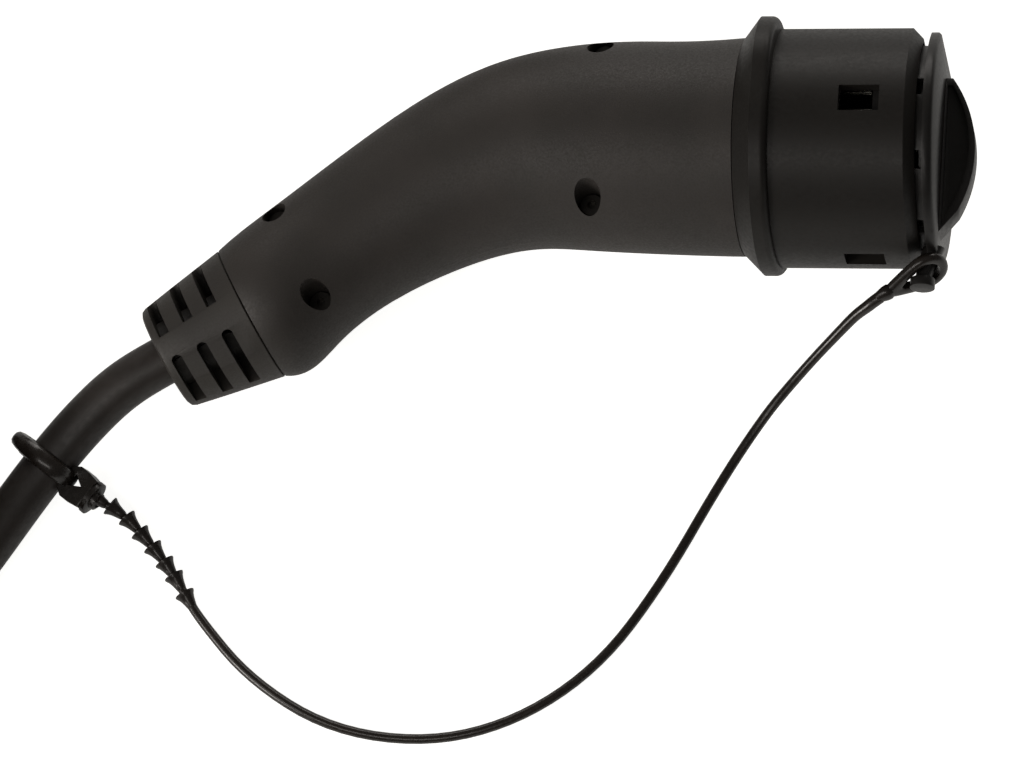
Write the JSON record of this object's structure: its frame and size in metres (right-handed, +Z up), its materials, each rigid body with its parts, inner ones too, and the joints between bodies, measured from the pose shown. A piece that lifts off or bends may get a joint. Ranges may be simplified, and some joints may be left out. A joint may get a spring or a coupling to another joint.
{
  "type": "electric vehicle charging cable",
  "caption": "Portable charging cable with curved two-shell handles, round flat-topped plugs, tethered dust cap and a coiled lead.",
  "frame": {"origin": "bottom centre of the near connector with its cap and boot, on the surface the cable lies on", "axes": "+X towards the capped nose, +Y towards the flat top of the nose, +Z up from the floor; the nose axis rises 5.85 degrees"},
  "size_m": [0.4463, 0.3366, 0.0687],
  "materials": {
    "shell_plastic": "fine spark-eroded matt",
    "nose_plastic": "smooth satin",
    "carrier_plastic": "satin",
    "pin_metal": "silver-plated, bright",
    "screw_steel": "zinc-plated",
    "resistor_body": "lacquered",
    "relief_rubber": "satin",
    "cable_sheath": "smooth satin",
    "cap_rubber": "satin",
    "strap_rubber": "glossy",
    "tie_fabric": "woven hook-and-loop tape",
    "earth_insulation": "green and yellow",
    "neutral_insulation": "blue",
    "brown_insulation": "brown",
    "black_insulation": "black",
    "grey_insulation": "grey",
    "pilot_insulation": "white"
  },
  "bodies": {
    "cable_set": {"nose_shroud": "nose_plastic", "contact_carrier": "carrier_plastic", "pe_pin": "pin_metal", "n_pin": "pin_metal", "l_one_pin": "pin_metal", "l_two_pin": "pin_metal", "l_three_pin": "pin_metal", "control_pilot_pin": "pin_metal", "proximity_pilot_pin": "pin_metal", "retainer_plate": "carrier_plastic", "retainer_screws": "screw_steel", "coding_resistor": "resistor_body", "housing_left": "shell_plastic", "housing_right": "shell_plastic", "housing_screws": "screw_steel", "bend_relief": "relief_rubber", "gland_seal": "relief_rubber", "cable_clamp": "carrier_plastic", "clamp_screw": "screw_steel", "cable_entry": "cable_sheath", "pe_core": "earth_insulation", "n_core": "neutral_insulation", "l_one_core": "brown_insulation", "l_two_core": "black_insulation", "l_three_core": "grey_insulation", "control_pilot_core": "pilot_insulation", "cable": "cable_sheath", "cable_coil": "cable_sheath", "coil_tie": "tie_fabric", "cable_far": "cable_sheath", "far_nose": "nose_plastic", "far_insert": "carrier_plastic", "far_pe_socket": "carrier_plastic", "far_n_socket": "carrier_plastic", "far_l_one_socket": "carrier_plastic", "far_l_two_socket": "carrier_plastic", "far_l_three_socket": "carrier_plastic", "far_control_pilot_socket": "carrier_plastic", "far_proximity_pilot_socket": "carrier_plastic", "far_housing_left": "shell_plastic", "far_housing_right": "shell_plastic", "far_housing_screws": "screw_steel", "far_bend_relief": "relief_rubber", "far_cable_entry": "cable_sheath", "strap": "strap_rubber", "strap_barbs": "strap_rubber", "strap_head": "strap_rubber"},
    "cap": {"dust_cap": "cap_rubber", "cap_seal": "cap_rubber", "strap_eyelet": "strap_rubber"}
  },
  "joints": [
    {"name": "cap_slide", "type": "slide", "parent": "cable_set", "child": "cap", "axis": [0.9948, 0, 0.1019], "range_m": [0, 0.05]}
  ]
}
